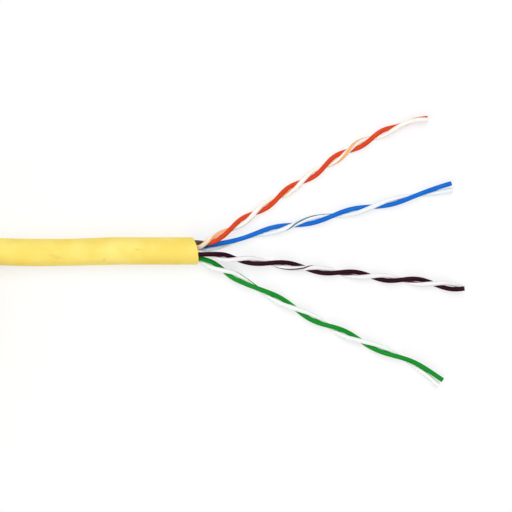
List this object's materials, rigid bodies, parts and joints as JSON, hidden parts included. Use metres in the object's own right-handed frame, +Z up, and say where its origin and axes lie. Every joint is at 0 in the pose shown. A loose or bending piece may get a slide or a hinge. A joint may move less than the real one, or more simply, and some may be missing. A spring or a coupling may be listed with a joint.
{
  "type": "network cable",
  "caption": "Coiled length of round network cable with one end stripped: yellow jacket, and colour-coded twisted pairs fanned out flat.",
  "frame": {"origin": "centre of the jacket's cut mouth, on the cable's axis", "axes": "+X along the cable, out of the mouth and towards the tips of the pairs; +Z up from the surface that the cable lies on; +Y to the side of the orange pair"},
  "size_m": [0.1668, 0.0785, 0.0193],
  "materials": {
    "jacket": "soft matt PVC, warm pale yellow, faint scuffs",
    "tie": "woven hook-and-loop strap, dark grey",
    "copper": "bare solid copper, bright where cut",
    "insulation_orange": "smooth polyethylene, satin gloss",
    "insulation_white_orange": "smooth polyethylene, satin gloss, with a thin stripe of its mate's colour",
    "insulation_blue": "smooth polyethylene, satin gloss",
    "insulation_white_blue": "smooth polyethylene, satin gloss, with a thin stripe of its mate's colour",
    "insulation_brown": "smooth polyethylene, satin gloss",
    "insulation_white_brown": "smooth polyethylene, satin gloss, with a thin stripe of its mate's colour",
    "insulation_green": "smooth polyethylene, satin gloss",
    "insulation_white_green": "smooth polyethylene, satin gloss, with a thin stripe of its mate's colour"
  },
  "bodies": {
    "root": {"jacket": "jacket", "cable_run": "jacket", "cable_coil": "jacket", "coil_tie": "tie", "insulation_orange": "insulation_orange", "insulation_white_orange": "insulation_white_orange", "insulation_blue": "insulation_blue", "insulation_white_blue": "insulation_white_blue", "insulation_brown": "insulation_brown", "insulation_white_brown": "insulation_white_brown", "insulation_green": "insulation_green", "insulation_white_green": "insulation_white_green", "conductor_orange": "copper", "conductor_white_orange": "copper", "conductor_blue": "copper", "conductor_white_blue": "copper", "conductor_brown": "copper", "conductor_white_brown": "copper", "conductor_green": "copper", "conductor_white_green": "copper"}
  },
  "joints": []
}
